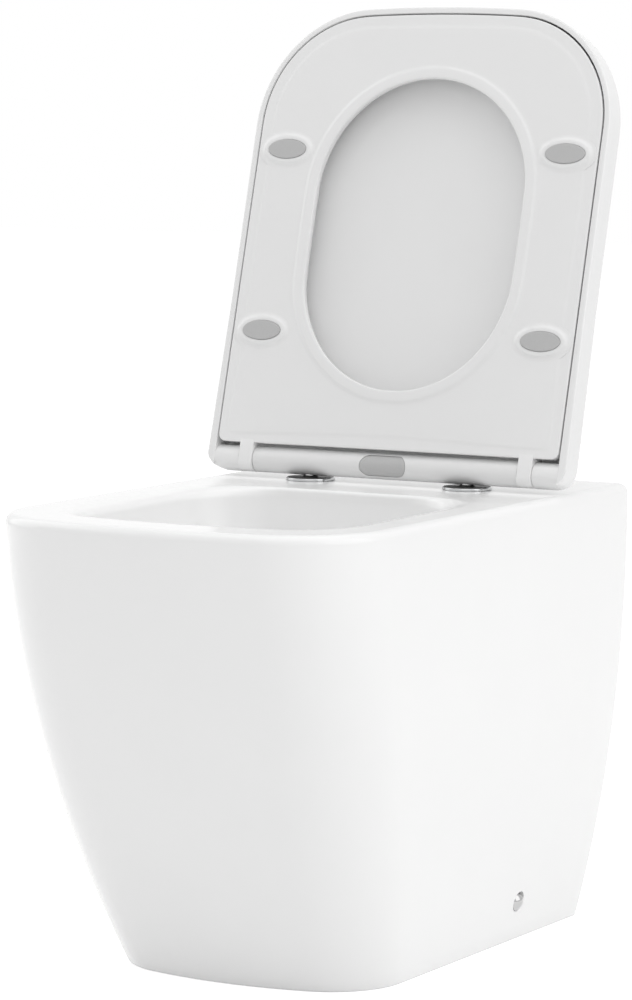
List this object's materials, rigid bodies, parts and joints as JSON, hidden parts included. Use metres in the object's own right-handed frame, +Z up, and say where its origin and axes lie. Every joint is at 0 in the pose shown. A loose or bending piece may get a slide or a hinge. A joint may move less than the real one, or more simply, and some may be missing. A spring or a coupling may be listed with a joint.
{
  "type": "back-to-wall toilet",
  "caption": "Skirted ceramic toilet pan with a squared outline, an open rimless bowl, and a seat and wrap-over lid raised on a quick-release soft-close hinge bar.",
  "frame": {"origin": "on the floor, in the finished wall's plane, under the middle of the pan", "axes": "+X to the viewer's right, -Y out of the wall towards the user, +Z up"},
  "size_m": [0.355, 0.5294, 0.8041],
  "materials": {
    "ceramic": "glossy white glaze",
    "seat_plastic": "glossy white thermoset",
    "bar_plastic": "satin white plastic",
    "chrome": "polished chrome",
    "soft_grey": "soft grey elastomer",
    "button_grey": "satin grey plastic",
    "black_rubber": "black rubber",
    "inner_plastic": "matt engineering plastic",
    "brass": "turned brass",
    "steel": "stainless steel"
  },
  "bodies": {
    "pan": {"pan": "ceramic", "hinge_base_left": "chrome", "hinge_base_right": "chrome", "hinge_post_left": "steel", "hinge_post_right": "steel", "expansion_sleeve_left": "black_rubber", "expansion_sleeve_right": "black_rubber", "clamp_nut_left": "brass", "clamp_nut_right": "brass", "floor_bracket_left": "inner_plastic", "floor_bracket_right": "inner_plastic", "bracket_nut_left": "steel", "bracket_nut_right": "steel", "side_screw_left": "steel", "side_screw_right": "steel", "cap_washer_left": "inner_plastic", "cap_washer_right": "inner_plastic"},
    "hinge": {"hinge_bar": "bar_plastic", "hinge_bar_cover": "bar_plastic", "seat_damper": "inner_plastic", "lid_damper": "inner_plastic", "button_spring": "steel", "latch_clip_left": "steel", "latch_clip_right": "steel"},
    "button": {"release_button": "button_grey"},
    "slide_left": {"release_slide_left": "inner_plastic"},
    "slide_right": {"release_slide_right": "inner_plastic"},
    "lid": {"lid_damper_shaft": "steel", "lid_bush": "inner_plastic", "lid": "seat_plastic", "lid_buffer_left": "soft_grey", "lid_buffer_right": "soft_grey"},
    "seat": {"seat_damper_shaft": "steel", "seat_bush": "inner_plastic", "seat": "seat_plastic", "seat_buffer_front_left": "soft_grey", "seat_buffer_front_right": "soft_grey", "seat_buffer_rear_left": "soft_grey", "seat_buffer_rear_right": "soft_grey"},
    "cap_left": {"cover_cap_left": "chrome"},
    "cap_right": {"cover_cap_right": "chrome"}
  },
  "joints": [
    {"name": "seat_lift_off", "type": "slide", "parent": "pan", "child": "hinge", "axis": [0, 0, 1], "range_m": [0, 0.03], "deforming": ["latch_clip_left", "latch_clip_right"]},
    {"name": "lid_hinge", "type": "hinge", "parent": "hinge", "child": "lid", "pos_m": [0, -0.1235, 0.4034], "axis": [-1, 0, 0], "range_deg": [-105.5, 0]},
    {"name": "seat_hinge", "type": "hinge", "parent": "lid", "child": "seat", "pos_m": [0, -0.1235, 0.4034], "axis": [1, 0, 0], "range_deg": [0, 105.5]},
    {"name": "release_button_push", "type": "slide", "parent": "hinge", "child": "button", "axis": [0, 1, 0], "range_m": [0, 0.003], "stiffness_N_per_m": 600, "springref_m": -0.004, "deforming": ["button_spring", "latch_clip_left", "latch_clip_right"]},
    {"name": "slide_left_out", "type": "slide", "parent": "hinge", "child": "slide_left", "axis": [-1, 0, 0], "range_m": [0, 0.003]},
    {"name": "slide_right_out", "type": "slide", "parent": "hinge", "child": "slide_right", "axis": [1, 0, 0], "range_m": [0, 0.003]},
    {"name": "cap_left_pull", "type": "slide", "parent": "pan", "child": "cap_left", "axis": [-1, 0, 0], "range_m": [0, 0.01]},
    {"name": "cap_right_pull", "type": "slide", "parent": "pan", "child": "cap_right", "axis": [1, 0, 0], "range_m": [0, 0.01]}
  ],
  "couplings": [
    {"joint": "slide_left_out", "follows": "release_button_push", "ratio": 1},
    {"joint": "slide_right_out", "follows": "release_button_push", "ratio": 1}
  ]
}
